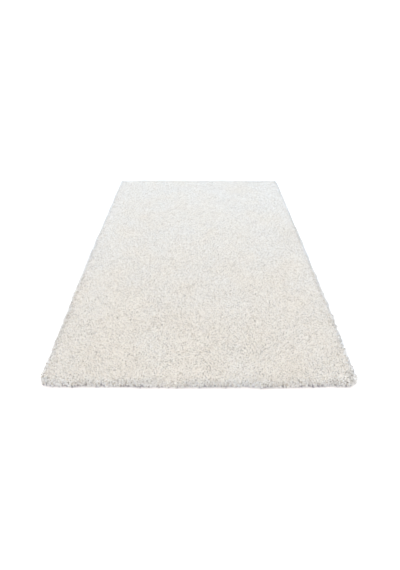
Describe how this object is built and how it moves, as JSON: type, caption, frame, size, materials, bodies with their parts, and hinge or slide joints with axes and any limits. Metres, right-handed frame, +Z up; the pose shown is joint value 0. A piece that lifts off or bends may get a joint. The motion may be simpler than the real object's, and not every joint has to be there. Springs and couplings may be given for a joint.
{
  "type": "shag rug",
  "caption": "Rectangular shag rug: a deep, soft, uneven pile of cream twisted yarn with loose locks round its rim and a flat underside, lying on the floor.",
  "frame": {"origin": "on the floor, at the middle of what the rug covers", "axes": "+X across the rug, +Y along it from the front edge to the back edge, +Z up out of the pile"},
  "size_m": [1.5968, 2.2956, 0.0517],
  "materials": {
    "pile_yarn": "matt twisted yarn",
    "backing_cloth": "plain coarse weave"
  },
  "bodies": {
    "root": {"shag_rug": "pile_yarn"}
  },
  "joints": []
}
